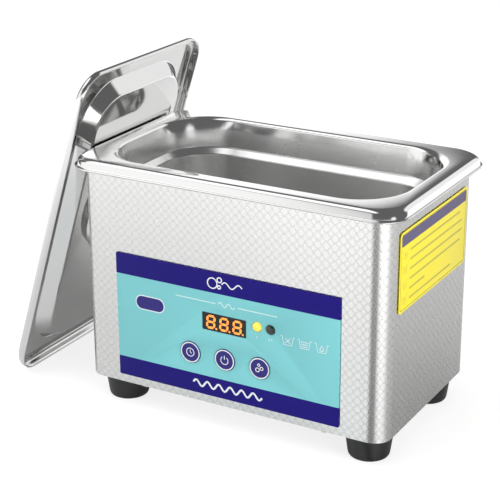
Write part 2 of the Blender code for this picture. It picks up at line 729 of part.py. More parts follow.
def make_lid():
    """Pressed lid with a sunken finger well and a strap handle across it."""
    rings = [ring_points(half, half - WIDTH_DROP, radius, height)
             for half, radius, height in LID_SECTIONS]
    rings += [ring_points(radius, radius, radius, height) for radius, height in WELL_SECTIONS]
    shell = loft("lid_shell", rings, steel(), close_end=True)
    flip_up(shell)
    thicken(shell, SHEET)
    foot = LID_PANEL + GAP
    end, bend = STRAP_ENDS
    raised = foot + STRAP_THICKNESS
    under = STRAP_TOP - STRAP_THICKNESS
    lean_in = 0.55
    outer = [(end, foot), (end, raised), (bend, raised), (STRAP_TOP_HALF, STRAP_TOP),
             (-STRAP_TOP_HALF, STRAP_TOP), (-bend, raised), (-end, raised), (-end, foot)]
    inner = [(-bend + lean_in, foot), (-STRAP_TOP_HALF + lean_in, under),
             (STRAP_TOP_HALF - lean_in, under), (bend - lean_in, foot)]
    handle = outline_curve("lid_handle", [outer + inner], STRAP_WIDTH, steel())
    handle.rotation_euler = (math.pi / 2, 0.0, math.pi / 2)
    stand = bpy.data.objects.new("lid_pose", None)
    PARTS.objects.link(stand)
    stand.parent = ORIGIN
    stand.rotation_euler = (0.0, LID_LEAN - math.pi / 2, 0.0)
    along = Vector((math.sin(LID_LEAN), 0.0, math.cos(LID_LEAN)))
    foot_of_lid = Vector((LID_BACK_X, LID_CENTRE_Y, LID_BOTTOM_Z))
    stand.location = (foot_of_lid + along * LID_HALF[0]) * MM
    shell.parent = stand
    handle.parent = stand


def build():
    global ORIGIN
    clear_scene()
    ORIGIN = bpy.data.objects.new("cleaner_origin", None)
    PARTS.objects.link(ORIGIN)
    ORIGIN.location = (MODEL_SHIFT[0] * MM, MODEL_SHIFT[1] * MM, 0.0)
    make_tank()
    make_housing()
    make_bottom_plate()
    make_base_strips()
    make_gasket()
    make_feet()
    make_base_screws()
    make_label()
    make_overlay()
    make_display()
    make_keys()
    make_transducer()
    make_driver()
    make_inlet()
    make_wiring()
    make_lid()


build()
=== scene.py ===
"""Looks of the bench-top ultrasonic cleaner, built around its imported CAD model."""
import json
import math

import bmesh
import bpy
from mathutils import Matrix, Vector


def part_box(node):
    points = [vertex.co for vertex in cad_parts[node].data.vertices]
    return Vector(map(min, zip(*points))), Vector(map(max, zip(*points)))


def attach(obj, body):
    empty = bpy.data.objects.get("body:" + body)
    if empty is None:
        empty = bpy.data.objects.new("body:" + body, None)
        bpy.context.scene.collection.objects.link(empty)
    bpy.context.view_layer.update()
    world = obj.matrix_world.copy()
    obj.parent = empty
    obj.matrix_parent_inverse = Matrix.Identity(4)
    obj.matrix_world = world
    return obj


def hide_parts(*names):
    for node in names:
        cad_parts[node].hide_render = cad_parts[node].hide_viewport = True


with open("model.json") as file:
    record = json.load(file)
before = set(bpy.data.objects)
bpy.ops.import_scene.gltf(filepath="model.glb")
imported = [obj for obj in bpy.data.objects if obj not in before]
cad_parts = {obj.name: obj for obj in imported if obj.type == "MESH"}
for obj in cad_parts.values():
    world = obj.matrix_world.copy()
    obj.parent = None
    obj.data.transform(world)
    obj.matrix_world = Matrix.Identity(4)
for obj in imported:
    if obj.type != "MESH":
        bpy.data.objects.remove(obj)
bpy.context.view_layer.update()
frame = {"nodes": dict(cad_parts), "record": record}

MM = 0.001
WELD = 0.00001
CORNER_STEPS = 14

# Places read from the frame
TANK_LOW, TANK_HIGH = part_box("tank")
HOUSING_LOW, HOUSING_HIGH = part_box("housing_shell")
PANEL_LOW, PANEL_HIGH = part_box("front_overlay")
LABEL_LOW, LABEL_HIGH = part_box("warning_label")
WINDOW_LOW, WINDOW_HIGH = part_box("display_window")
INLET_LOW, INLET_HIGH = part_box("power_inlet")
CENTRE_X = (TANK_LOW.x + TANK_HIGH.x) / 2
CENTRE_Y = (TANK_LOW.y + TANK_HIGH.y) / 2
CENTRE = Vector((CENTRE_X, CENTRE_Y, 0.0))
FRONT = Matrix(((1, 0, 0, CENTRE_X), (0, 0, -1, PANEL_LOW.y), (0, 1, 0, 0), (0, 0, 0, 1)))
RIGHT_SIDE = Matrix(((0, 0, 1, LABEL_HIGH.x), (1, 0, 0, 0), (0, 1, 0, 0), (0, 0, 0, 1)))


# ---------------------------------------------------------------- materials

def new_material(name):
    """A node material, its tree and its Principled shader."""
    material = bpy.data.materials.new(name)
    material.use_nodes = True
    return material, material.node_tree, material.node_tree.nodes["Principled BSDF"]


def node(tree, kind, **sockets):
    """Add a shader node; keywords set its inputs or its own settings."""
    made = tree.nodes.new(f"ShaderNode{kind}")
    for key, value in sockets.items():
        if hasattr(made, key):
            setattr(made, key, value)
        else:
            made.inputs[key.replace("_", " ")].default_value = value
    return made


def math_node(tree, operation, first, second=None):
    """A Math node on sockets or numbers; returns its output."""
    made = tree.nodes.new("ShaderNodeMath")
    made.operation = operation
    for index, value in enumerate((first, second)):
        if value is None:
            continue
        if isinstance(value, (int, float)):
            made.inputs[index].default_value = value
        else:
            tree.links.new(value, made.inputs[index])
    return made.outputs[0]


def ramp(tree, value, low, high, to_low, to_high, smooth=False):
    """Map a value's range onto another, clamped."""
    made = tree.nodes.new("ShaderNodeMapRange")
    made.interpolation_type = "SMOOTHSTEP" if smooth else "LINEAR"
    for index, number in enumerate((low, high, to_low, to_high), start=1):
        made.inputs[index].default_value = number
    tree.links.new(value, made.inputs[0])
    return made.outputs[0]


def place_coords(tree, scale=(1.0, 1.0, 1.0)):
    """Object coordinates, stretched."""
    coords = tree.nodes.new("ShaderNodeTexCoord")
    mapping = node(tree, "Mapping", Scale=scale)
    tree.links.new(coords.outputs["Object"], mapping.inputs["Vector"])
    return mapping.outputs["Vector"]


def noise(tree, scale, detail=2.0, stretch=(1.0, 1.0, 1.0)):
    """Noise by object place, with an optional stretch; returns its value."""
    made = node(tree, "TexNoise", Scale=scale, Detail=detail)
    tree.links.new(place_coords(tree, stretch), made.inputs["Vector"])
    return made.outputs["Fac"]


def mix_colour(tree, factor, first, second):
    """Blend two colours by a socket."""
    made = tree.nodes.new("ShaderNodeMix")
    made.data_type = "RGBA"
    for index, value in ((6, first), (7, second)):
        if isinstance(value, tuple):
            made.inputs[index].default_value = (*value, 1.0)
        else:
            tree.links.new(value, made.inputs[index])
    tree.links.new(factor, made.inputs[0])
    return made.outputs[2]


def add_bump(tree, shader, height, strength, distance):
    """Bump the shader's normal by a height socket."""
    bump = node(tree, "Bump", Strength=strength, Distance=distance)
    tree.links.new(height, bump.inputs["Height"])
    tree.links.new(bump.outputs["Normal"], shader.inputs["Normal"])


SATIN = 0.14  # roughness that the tank's inside has over its rim


def polished_steel(name, tint=0.80, smooth=0.07, rough=0.16, streak=0.15, satin_below=None):
    """Mirror steel with faint smudges and drawing lines, satin below a height."""
    material, tree, shader = new_material(name)
    shader.inputs["Metallic"].default_value = 1.0
    smudge = noise(tree, 55.0, 3.0)
    colour = mix_colour(tree, smudge, (tint * 0.95,) * 3, (tint, tint * 0.995, tint * 0.985))
    tree.links.new(colour, shader.inputs["Base Color"])
    roughness = ramp(tree, smudge, 0.3, 0.75, smooth, rough)
    if satin_below:
        satin = ramp(tree, height_socket(tree), satin_below - 2 * MM, satin_below, SATIN, 0.0)
        roughness = math_node(tree, "ADD", roughness, satin)
    tree.links.new(roughness, shader.inputs["Roughness"])
    lines = noise(tree, 240.0, 2.0, (1.0, 1.0, 9.0))
    add_bump(tree, shader, lines, streak, 0.00004)
    return material


def height_socket(tree):
    """Height above the bench, in object space."""
    coords = tree.nodes.new("ShaderNodeTexCoord")
    parts = tree.nodes.new("ShaderNodeSeparateXYZ")
    tree.links.new(coords.outputs["Object"], parts.inputs[0])
    return parts.outputs["Z"]


def embossed_steel():
    """Stainless sheet rolled with a lattice of raised lozenges and dots, its grooves painted
    darker as painted shade.
    """
    material, tree, shader = new_material("embossed_steel")
    pitch = 4.25 * MM
    unwrapped = node(tree, "UVMap", uv_map="wrap")
    parts = tree.nodes.new("ShaderNodeSeparateXYZ")
    tree.links.new(unwrapped.outputs["UV"], parts.inputs[0])
    waves = []
    for axis in (0, 1):
        turn = math_node(tree, "MULTIPLY", parts.outputs[axis], 2 * math.pi / pitch)
        waves.append(math_node(tree, "COSINE", turn))
    lattice = math_node(tree, "ADD", waves[0], waves[1])
    off_line = math_node(tree, "ABSOLUTE", math_node(tree, "ADD", lattice, 0.25))
    raised = ramp(tree, off_line, 0.0, 0.9, 0.0, 1.0, True)
    grain = noise(tree, 900.0, 2.0)
    height = math_node(tree, "ADD", raised, math_node(tree, "MULTIPLY", grain, 0.12))
    shader.inputs["Metallic"].default_value = 1.0
    # Painted shade: the grooves between the lozenges get a darker steel colour than the raised
    # faces.
    colour = mix_colour(tree, raised, (0.72, 0.72, 0.715), (0.84, 0.84, 0.83))
    tree.links.new(colour, shader.inputs["Base Color"])
    tree.links.new(ramp(tree, raised, 0.0, 1.0, 0.30, 0.22), shader.inputs["Roughness"])
    add_bump(tree, shader, height, 0.28, 0.00010)
    return material


def plastic(name, colour, roughness, grain=0.0, vary=0.06, coat=0.0):
    """Moulded plastic with slight colour drift and moulding grain."""
    material, tree, shader = new_material(name)
    drift = noise(tree, 90.0, 2.0)
    darker = tuple(channel * (1.0 - vary) for channel in colour)
    tree.links.new(mix_colour(tree, drift, darker, colour), shader.inputs["Base Color"])
    tree.links.new(ramp(tree, drift, 0.2, 0.8, roughness * 0.9, roughness * 1.1),
                   shader.inputs["Roughness"])
    shader.inputs["Coat Weight"].default_value = coat
    shader.inputs["Coat Roughness"].default_value = 0.08
    if grain:
        add_bump(tree, shader, noise(tree, 2200.0, 1.0), grain, 0.00003)
    return material


def metal(name, colour, roughness, stretch=(1.0, 1.0, 1.0), grain=0.25):
    """Plain metal with machining or plating variation."""
    material, tree, shader = new_material(name)
    shader.inputs["Metallic"].default_value = 1.0
    drift = noise(tree, 160.0, 3.0)
    darker = tuple(channel * 0.86 for channel in colour)
    tree.links.new(mix_colour(tree, drift, darker, colour), shader.inputs["Base Color"])
    tree.links.new(ramp(tree, drift, 0.25, 0.75, roughness * 0.75, roughness * 1.25),
                   shader.inputs["Roughness"])
    add_bump(tree, shader, noise(tree, 900.0, 2.0, stretch), grain, 0.00003)
    return material


def glowing(name, colour, strength, core=None):
    """A lit lamp or display segment."""
    material, tree, shader = new_material(name)
    drift = noise(tree, 700.0, 1.0)
    edge = tuple(channel * 0.82 for channel in colour)
    tint = mix_colour(tree, drift, edge, core or colour)
    tree.links.new(tint, shader.inputs["Base Color"])
    tree.links.new(tint, shader.inputs["Emission Color"])
    shader.inputs["Emission Strength"].default_value = strength
    shader.inputs["Roughness"].default_value = 0.2
    return material


def panel_film():
    """Printed film: navy bands above and below a teal field."""
    material, tree, shader = new_material("panel_film")
    height = height_socket(tree)
    band = math_node(tree, "MAXIMUM", math_node(tree, "GREATER_THAN", height, BAND_TOP * MM),
                     math_node(tree, "LESS_THAN", height, BAND_BOTTOM * MM))
    drift = noise(tree, 40.0, 2.0)
    teal = mix_colour(tree, drift, (0.220, 0.610, 0.640), (0.238, 0.640, 0.665))
    tree.links.new(mix_colour(tree, band, teal, (0.014, 0.008, 0.185)),
                   shader.inputs["Base Color"])
    shader.inputs["Roughness"].default_value = 0.42
    shader.inputs["Specular IOR Level"].default_value = 0.12
    add_bump(tree, shader, noise(tree, 2600.0, 1.0), 0.08, 0.00002)
    return material


def rubber():
    """Black rubber with a fine grain and dusty streaks."""
    material, tree, shader = new_material("foot_rubber")
    dust = noise(tree, 130.0, 4.0, (1.0, 1.0, 0.4))
    tree.links.new(mix_colour(tree, dust, (0.008, 0.008, 0.008), (0.028, 0.028, 0.029)),
                   shader.inputs["Base Color"])
    tree.links.new(ramp(tree, dust, 0.3, 0.7, 0.30, 0.46), shader.inputs["Roughness"])
    add_bump(tree, shader, noise(tree, 1500.0, 2.0), 0.25, 0.00005)
    return material


def ink(name, colour, roughness=0.45):
    """Printed ink, slightly uneven."""
    return plastic(name, colour, roughness, vary=0.04)


# ---------------------------------------------------------------- meshes

def make_object(name, mesh, material, sharp=35.0):
    """Smooth-shaded object from a mesh, with creases above an angle."""
    mesh.materials.append(material)
    mesh.shade_smooth()
    mesh.set_sharp_from_angle(angle=math.radians(sharp))
    made = bpy.data.objects.new(name, mesh)
    bpy.context.scene.collection.objects.link(made)
    return made


def from_bmesh(name, bm, material, sharp=35.0):
    """Object from a bmesh, which is freed."""
    mesh = bpy.data.meshes.new(name)
    bmesh.ops.remove_doubles(bm, verts=bm.verts, dist=WELD / 10)
    bm.normal_update()
    bm.to_mesh(mesh)
    bm.free()
    return make_object(name, mesh, material, sharp)


def ring_points(half_x, half_y, radius, height, steps=CORNER_STEPS):
    """Points of a rounded rectangle about the origin, anticlockwise from above."""
    points = []
    for quarter, (side_x, side_y) in enumerate(((1, 1), (-1, 1), (-1, -1), (1, -1))):
        for step in range(steps + 1):
            angle = math.pi / 2 * (quarter + step / steps)
            points.append(Vector((side_x * (half_x - radius) + radius * math.cos(angle),
                                  side_y * (half_y - radius) + radius * math.sin(angle),
                                  height)) * MM)
    return points


def rounded_path(corners, steps=5):
    """Round a path of (half width, corner radius, height, bend radius) rows.

    Each inner corner becomes an arc of its bend radius, and the plan's corner radius is
    carried along it.
    """
    path = [corners[0][:3]]
    for before, corner, after in zip(corners, corners[1:], corners[2:]):
        here = Vector((corner[0], corner[2]))
        back = Vector((before[0], before[2])) - here
        ahead = Vector((after[0], after[2])) - here
        angle = back.angle(ahead)
        reach = corner[3] / math.tan(angle / 2) if corner[3] else 0.0
        if reach < 0.01:
            path.append(corner[:3])
            continue
        start = here + back.normalized() * reach
        end = here + ahead.normalized() * reach
        middle = (back.normalized() + ahead.normalized()).normalized()
        centre = here + middle * (corner[3] / math.sin(angle / 2))
        first, last = start - centre, end - centre
        sweep = first.angle_signed(last)
        start_radius = corner[1] + (before[1] - corner[1]) * reach / back.length
        end_radius = corner[1] + (after[1] - corner[1]) * reach / ahead.length
        for step in range(steps + 1):
            t = step / steps
            spoke = first.copy()
            spoke.rotate(Matrix.Rotation(-sweep * t, 2))
            point = centre + spoke
            path.append((point.x, start_radius + (end_radius - start_radius) * t, point.y))
    path.append(corners[-1][:3])
    return path


def skin(name, rings, material, close_end=True, thickness=None):
    """Skin a stack of rings and give the sheet its thickness, away from the upper side."""
    bm = bmesh.new()
    rows = [[bm.verts.new(point) for point in ring] for ring in rings]
    for upper, lower in zip(rows, rows[1:]):
        for index in range(len(upper)):
            after = (index + 1) % len(upper)
            bm.faces.new((upper[index], lower[index], lower[after], upper[after]))
    if close_end:
        bm.faces.new(rows[-1][::-1])
    bmesh.ops.remove_doubles(bm, verts=bm.verts, dist=WELD / 10)
    bmesh.ops.recalc_face_normals(bm, faces=bm.faces)
    widest = max(bm.faces, key=lambda face: face.calc_area() * abs(face.normal.z))
    if widest.normal.z < 0:
        bmesh.ops.reverse_faces(bm, faces=bm.faces)
    made = from_bmesh(name, bm, material)
    if thickness:
        sheet = made.modifiers.new("sheet", "SOLIDIFY")
        sheet.thickness = thickness * MM
        sheet.offset = -1.0
        sheet.use_even_offset = True
    return made


def turned(name, profile, place, material, turn=None, steps=64):
    """Spin an open profile of (radius, height) points about the local Z axis."""
    bm = bmesh.new()
    rings = []
    for radius, height in profile:
        if radius <= 0.0:
            rings.append([bm.verts.new((0.0, 0.0, height * MM))])
            continue
        rings.append([bm.verts.new((radius * MM * math.cos(2 * math.pi * step / steps),
                                    radius * MM * math.sin(2 * math.pi * step / steps),
                                    height * MM)) for step in range(steps)])
    for upper, lower in zip(rings, rings[1:]):
        for index in range(steps):
            after = (index + 1) % steps
            corners = [upper[index % len(upper)], lower[index % len(lower)],
                       lower[after % len(lower)], upper[after % len(upper)]]
            unique = list(dict.fromkeys(corners))
            if len(unique) > 2:
                bm.faces.new(unique)
    bmesh.ops.recalc_face_normals(bm, faces=bm.faces)
    matrix = Matrix.Translation(place) @ (turn or Matrix.Identity(4))
    bmesh.ops.transform(bm, matrix=matrix, verts=bm.verts)
    return from_bmesh(name, bm, material)


def outline_mesh(name, loops, thickness, bevel=0.0):
    """Flat mesh with holes from closed loops in XY (millimetres), from z = 0 up."""
    curve = bpy.data.curves.new(name, "CURVE")
    curve.dimensions = "2D"
    curve.fill_mode = "BOTH"
    curve.extrude = thickness / 2 * MM - bevel * MM
    curve.bevel_depth = bevel * MM
    curve.bevel_resolution = 1
    curve.offset = -bevel * MM
    for loop in loops:
        spline = curve.splines.new("POLY")
        spline.points.add(len(loop) - 1)
        for point, (x, y) in zip(spline.points, loop):
            point.co = (x * MM, y * MM, 0.0, 1.0)
        spline.use_cyclic_u = True
    return curve_mesh(name, curve, Matrix.Translation((0.0, 0.0, thickness / 2 * MM)))


def stroke_mesh(name, lines, width, rise):
    """Round-ended strokes along polylines in XY (millimetres), flattened to a low relief."""
    curve = bpy.data.curves.new(name, "CURVE")
    curve.dimensions = "3D"
    curve.bevel_depth = width / 2 * MM
    curve.bevel_resolution = 1
    curve.use_fill_caps = True
    for line in lines:
        closed = line[0] == line[-1]
        points = line[:-1] if closed else line
        spline = curve.splines.new("POLY")
        spline.points.add(len(points) - 1)
        for point, (x, y) in zip(spline.points, points):
            point.co = (x * MM, y * MM, 0.0, 1.0)
        spline.use_cyclic_u = closed
    return curve_mesh(name, curve, Matrix.Diagonal((1.0, 1.0, 2 * rise / width, 1.0)))


def curve_mesh(name, curve, matrix):
    """Evaluate a curve into a clean mesh and drop the curve."""
    helper = bpy.data.objects.new(f"{name}_outline", curve)
    bpy.context.scene.collection.objects.link(helper)
    graph = bpy.context.evaluated_depsgraph_get()
    mesh = bpy.data.meshes.new_from_object(helper.evaluated_get(graph))
    bpy.data.objects.remove(helper, do_unlink=True)
    bm = bmesh.new()
    bm.from_mesh(mesh)
    bmesh.ops.remove_doubles(bm, verts=bm.verts, dist=WELD / 10)
    bmesh.ops.transform(bm, matrix=matrix, verts=bm.verts)
    bm.to_mesh(mesh)
    bm.free()
    mesh.name = name
    return mesh


def on_face(name, mesh, face, material, body="cleaner", lift=0.0):
    """Lay a flat mesh on a face of the cleaner and let it ride."""
    mesh.transform(face @ Matrix.Translation((0.0, 0.0, lift * MM)))
    mesh.materials.clear()
    made = make_object(name, mesh, material)
    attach(made, body)
    return made


def arc(centre, radius, start, end, steps=24):
    """Points of an arc in degrees."""
    return [(centre[0] + radius * math.cos(math.radians(start + (end - start) * step / steps)),
             centre[1] + radius * math.sin(math.radians(start + (end - start) * step / steps)))
            for step in range(steps + 1)]


def circle(centre, radius, steps=40):
    """Points of a full circle, its first point not repeated."""
    return arc(centre, radius, 0.0, 360.0 * (steps - 1) / steps, steps - 1)


def rounded_loop(x_range, y_range, radius, steps=8):
    """Rounded rectangle between two corners."""
    middle = (sum(x_range) / 2, sum(y_range) / 2)
    ring = ring_points((x_range[1] - x_range[0]) / 2, (y_range[1] - y_range[0]) / 2, radius,
                       0.0, steps)
    return [(point.x / MM + middle[0], point.y / MM + middle[1]) for point in ring]


def moved(points, place, scale=1.0):
    """Points scaled about the origin, then shifted."""
    return [(place[0] + x * scale, place[1] + y * scale) for x, y in points]


# ---------------------------------------------------------------- casing

RIM_HALF = (TANK_HIGH.x - TANK_LOW.x) / 2 / MM
WIDTH_DROP = RIM_HALF - (TANK_HIGH.y - TANK_LOW.y) / 2 / MM
RIM_TOP = TANK_HIGH.z / MM
FLOOR_DEPTH = 66.0
SHEET = 0.8
TANK_PATH = (
    (RIM_HALF, 13.4, RIM_TOP - 4.5, 0.0), (87.0, 12.6, RIM_TOP - 4.35, 0.7),
    (86.0, 11.8, RIM_TOP, 2.3), (77.0, 28.4, RIM_TOP, 1.9), (75.6, 27.3, RIM_TOP - 15.4, 2.2),
    (72.6, 24.9, RIM_TOP - 18.3, 1.6), (68.6, 22.0, RIM_TOP - FLOOR_DEPTH, 9.0),
    (56.0, 14.0, RIM_TOP - FLOOR_DEPTH, 0.0),
)


def plan_rings(path):
    """Rounded rectangles along a path, each the width drop narrower than long."""
    return [ring_points(half, half - WIDTH_DROP, radius, height)
            for half, radius, height in path]


def make_tank(material):
    """Pressed tank: flared lip, rim, mouth, stacking shoulder and rounded floor."""
    tank = skin("bath_tank", plan_rings(rounded_path(TANK_PATH, 6)), material,
                thickness=SHEET)
    tank.location = CENTRE
    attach(tank, "cleaner")
    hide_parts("tank")


SLEEVE_STEPS = 18
SLEEVE_RADIUS = 9.0


def wrapped_sleeve(name, half_x, half_y, radius, low, high, thickness, material):
    """Sleeve with an unwrapped map: distance round it, and height."""
    bm = bmesh.new()
    unwrap = bm.loops.layers.uv.new("wrap")
    levels = [low, low + 0.5 * MM, high]
    plan = ring_points(half_x, half_y, radius, 0.0, SLEEVE_STEPS)
    seam = SLEEVE_STEPS + 1
    plan = plan[seam:] + plan[:seam]
    distance = [0.0]
    for point, after in zip(plan, plan[1:] + plan[:1]):
        distance.append(distance[-1] + (after - point).length)
    rows = [[bm.verts.new((point.x, point.y, level)) for point in plan] for level in levels]
    for row, (lower, upper) in enumerate(zip(rows, rows[1:])):
        for index in range(len(plan)):
            after = (index + 1) % len(plan)
            face = bm.faces.new((lower[index], lower[after], upper[after], upper[index]))
            ends = ((distance[index], levels[row]), (distance[index + 1], levels[row]),
                    (distance[index + 1], levels[row + 1]), (distance[index], levels[row + 1]))
            for loop, (along, height) in zip(face.loops, ends):
                loop[unwrap].uv = (along, height)
    made = from_bmesh(name, bm, material)
    sheet = made.modifiers.new("sheet", "SOLIDIFY")
    sheet.thickness = thickness * MM
    sheet.offset = -1.0
    sheet.use_even_offset = True
    return made


def cut(piece, cutter):
    """Boolean a hole, then drop the cutter."""
    boolean = piece.modifiers.new("opening", "BOOLEAN")
    boolean.operation = "DIFFERENCE"
    boolean.solver = "EXACT"
    boolean.object = cutter
    bpy.context.view_layer.objects.active = piece
    for modifier in list(piece.modifiers):
        with bpy.context.temp_override(object=piece, active_object=piece):
            bpy.ops.object.modifier_apply(modifier=modifier.name)
    bpy.data.objects.remove(cutter, do_unlink=True)


def block(name, low, high):
    """Plain box used as a cutter."""
    bm = bmesh.new()
    bmesh.ops.create_cube(bm, size=1.0)
    size, middle = Vector(high) - Vector(low), (Vector(high) + Vector(low)) / 2
    bmesh.ops.transform(bm, matrix=Matrix.Translation(middle) @ Matrix.Diagonal((*size, 1.0)),
                        verts=bm.verts)
    return from_bmesh(name, bm, bpy.data.materials.new(name))


OPENING_GAP = 0.3
CUT_DEPTH = 3.0
INLET_OPENING_HALF = (13.9, 10.2)
SCREW_HOLE_RADIUS = 1.9
LAMP_RADIUS = 2.3
KEY_RADIUS = 5.5


def through_hole(name, node_name, radius, wall_y):
    """Round cutter through a wall, on a node's centre line."""
    x, z = node_centre(node_name)
    place = Vector((CENTRE_X + x * MM, wall_y, z * MM))
    profile = ((0.0, CUT_DEPTH), (radius, CUT_DEPTH), (radius, -CUT_DEPTH), (0.0, -CUT_DEPTH))
    return turned(name, profile, place, bpy.data.materials.new(name),
                  Matrix.Rotation(math.pi / 2, 4, "X"), 48)


def make_housing(material):
    """Embossed sleeve with the openings of the panel at the front and the inlet at the rear."""
    half_x = (HOUSING_HIGH.x - HOUSING_LOW.x) / 2 / MM
    half_y = (HOUSING_HIGH.y - HOUSING_LOW.y) / 2 / MM
    sleeve = wrapped_sleeve("embossed_sleeve", half_x, half_y, SLEEVE_RADIUS, HOUSING_LOW.z,
                            HOUSING_HIGH.z, SHEET, material)
    sleeve.location = CENTRE
    bpy.context.view_layer.update()
    reach = Vector((INLET_OPENING_HALF[0], CUT_DEPTH, INLET_OPENING_HALF[1])) * MM
    middle = Vector(((INLET_LOW.x + INLET_HIGH.x) / 2, HOUSING_HIGH.y,
                     (INLET_LOW.z + INLET_HIGH.z) / 2))
    cut(sleeve, block("inlet_opening", middle - reach, middle + reach))
    gap = Vector((OPENING_GAP, CUT_DEPTH, OPENING_GAP)) * MM
    low = Vector((WINDOW_LOW.x, HOUSING_LOW.y, WINDOW_LOW.z)) - gap
    high = Vector((WINDOW_HIGH.x, HOUSING_LOW.y, WINDOW_HIGH.z)) + gap
    cut(sleeve, block("window_opening", low, high))
    for name in LAMPS:
        cut(sleeve, through_hole(f"{name}_opening", name, LAMP_RADIUS + OPENING_GAP,
                                 HOUSING_LOW.y))
    for name in KEYS:
        cut(sleeve, through_hole(f"{name}_opening", name, KEY_RADIUS + OPENING_GAP,
                                 HOUSING_LOW.y))
    for side in ("left", "right"):
        cut(sleeve, through_hole(f"screw_{side}_opening", f"inlet_screw_{side}",
                                 SCREW_HOLE_RADIUS, HOUSING_HIGH.y))
    sleeve.data.set_sharp_from_angle(angle=math.radians(35))
    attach(sleeve, "cleaner")
    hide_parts("housing_shell")


FOOT_TOP = 13.7
FOOT_PROFILE = ((11.5, FOOT_TOP), (11.6, 13.2), (11.45, 11.6), (10.25, 2.6), (9.95, 1.2),
                (9.5, 0.45), (8.9, 0.1), (8.3, 0.0), (5.4, 0.0), (5.2, 0.2), (5.2, 6.0),
                (2.3, 6.0), (2.3, FOOT_TOP), (11.5, FOOT_TOP))


def make_feet(material):
    """Tapered feet, rounded at the bench and hollow round their screws."""
    for y_name in ("front", "rear"):
        for x_name in ("left", "right"):
            node_name = f"foot_{y_name}_{x_name}"
            low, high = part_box(node_name)
            place = Vector(((low.x + high.x) / 2, (low.y + high.y) / 2, 0.0))
            foot = turned(f"rubber_{node_name}", FOOT_PROFILE, place, material)
            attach(foot, "cleaner")
            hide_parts(node_name)


# ---------------------------------------------------------------- front panel

PANEL_X = ((PANEL_LOW.x - CENTRE_X) / MM, (PANEL_HIGH.x - CENTRE_X) / MM)
PANEL_Z = (PANEL_LOW.z / MM, PANEL_HIGH.z / MM)
BAND_TOP = 72.5
BAND_BOTTOM = 28.5
PRINT_RISE = 0.04


def node_centre(name):
    """Centre of a CAD node seen from the front, in millimetres from the cleaner's middle."""
    low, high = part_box(name)
    return ((low.x + high.x) / 2 - CENTRE_X) / MM, (low.z + high.z) / 2 / MM


def make_overlay():
    """Panel film with its openings and softened edge."""
    window = ((WINDOW_LOW.x - CENTRE_X) / MM, (WINDOW_HIGH.x - CENTRE_X) / MM)
    window_z = (WINDOW_LOW.z / MM, WINDOW_HIGH.z / MM)
    loops = [rounded_loop(PANEL_X, PANEL_Z, 0.6, 4),
             rounded_loop((window[0] - 0.15, window[1] + 0.15),
                          (window_z[0] - 0.15, window_z[1] + 0.15), 0.4, 4)]
    loops += [circle(node_centre(name), 2.5) for name in LAMPS]
    loops += [circle(node_centre(name), 5.7, 64) for name in KEYS]
    thickness = (PANEL_HIGH.y - PANEL_LOW.y) / MM
    mesh = outline_mesh("panel_film", loops, thickness, 0.08)
    film = on_face("panel_film", mesh, FRONT, panel_film(), lift=-thickness)
    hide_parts("front_overlay")


LAMPS = ("indicator_led_lit", "indicator_led_dark")
KEYS = ("key_time", "key_power", "key_degas")
SEGMENTS = {  # centre and direction of each bar in a digit two units high and one wide
    "top": ((0.5, 2.0), True), "middle": ((0.5, 1.0), True), "bottom": ((0.5, 0.0), True),
    "upper_left": ((0.0, 1.5), False), "upper_right": ((1.0, 1.5), False),
    "lower_left": ((0.0, 0.5), False), "lower_right": ((1.0, 0.5), False),
}
DIGIT_UNIT = 3.0
DIGIT_SLANT = 0.07
DIGIT_LEFTS = (-9.35, -2.15, 5.05)
BAR_HALF = 0.56


def digit_bars(left, bottom):
    """Pointed bars of one digit, and its dot."""
    loops = []
    width = 3.9
    for (unit_x, unit_y), flat in SEGMENTS.values():
        x, y = unit_x * width, unit_y * DIGIT_UNIT
        half = (width if flat else DIGIT_UNIT) / 2 - 0.18
        bar = [(-half, 0.0), (-half + BAR_HALF, BAR_HALF), (half - BAR_HALF, BAR_HALF),
               (half, 0.0), (half - BAR_HALF, -BAR_HALF), (-half + BAR_HALF, -BAR_HALF)]
        if not flat:
            bar = [(-down, across) for across, down in bar]
        loops.append([(left + x + px + DIGIT_SLANT * (y + py), bottom + y + py)
                      for px, py in bar])
    loops.append(circle((left + width + 1.25, bottom - 0.1), 0.52, 16))
    return loops


def make_display():
    """Smoked window with three lit digits."""
    low, high = WINDOW_LOW, WINDOW_HIGH
    size = (high - low) / MM
    mesh = outline_mesh("smoked_window", [rounded_loop((-size.x / 2, size.x / 2),
                                                       (-size.z / 2, size.z / 2), 0.4, 4)],
                        size.y, 0.1)
    mesh.transform(Matrix.Translation(((low.x + high.x) / 2 - CENTRE_X,
                                       (low.z + high.z) / 2, 0.0)))
    window = on_face("smoked_window", mesh, FRONT,
                     plastic("smoked_acrylic", (0.006, 0.006, 0.007), 0.16), lift=-size.y)
    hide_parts("display_window")
    middle_x, middle_z = node_centre("display_window")
    bottom = middle_z - DIGIT_UNIT
    loops = []
    for left in DIGIT_LEFTS:
        loops += digit_bars(middle_x + left, bottom)
    on_face("lit_digits", outline_mesh("lit_digits", loops, 0.05), FRONT,
            glowing("digit_orange", (0.95, 0.25, 0.03), 0.9, (1.0, 0.36, 0.07)))


def make_lamps():
    """Round lamp lenses, one lit and one dark."""
    looks = {
        "indicator_led_lit": glowing("lamp_amber", (0.95, 0.55, 0.05), 0.55,
                                     (1.0, 0.68, 0.10)),
        "indicator_led_dark": plastic("lamp_dark", (0.012, 0.022, 0.016), 0.15, coat=0.6),
    }
    profile = [(LAMP_RADIUS * math.sin(angle), math.cos(angle))
               for angle in (math.pi / 2 * step / 10 for step in range(11))]
    profile += [(LAMP_RADIUS, -1.0), (0.0, -1.0)]
    face_on = Matrix.Rotation(math.pi / 2, 4, "X")
    for name in LAMPS:
        x, z = node_centre(name)
        lens = turned(f"lens_{name}", profile, Vector((CENTRE_X + x * MM, PANEL_LOW.y, z * MM)),
                      looks[name], face_on, 40)
        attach(lens, "cleaner")
        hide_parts(name)


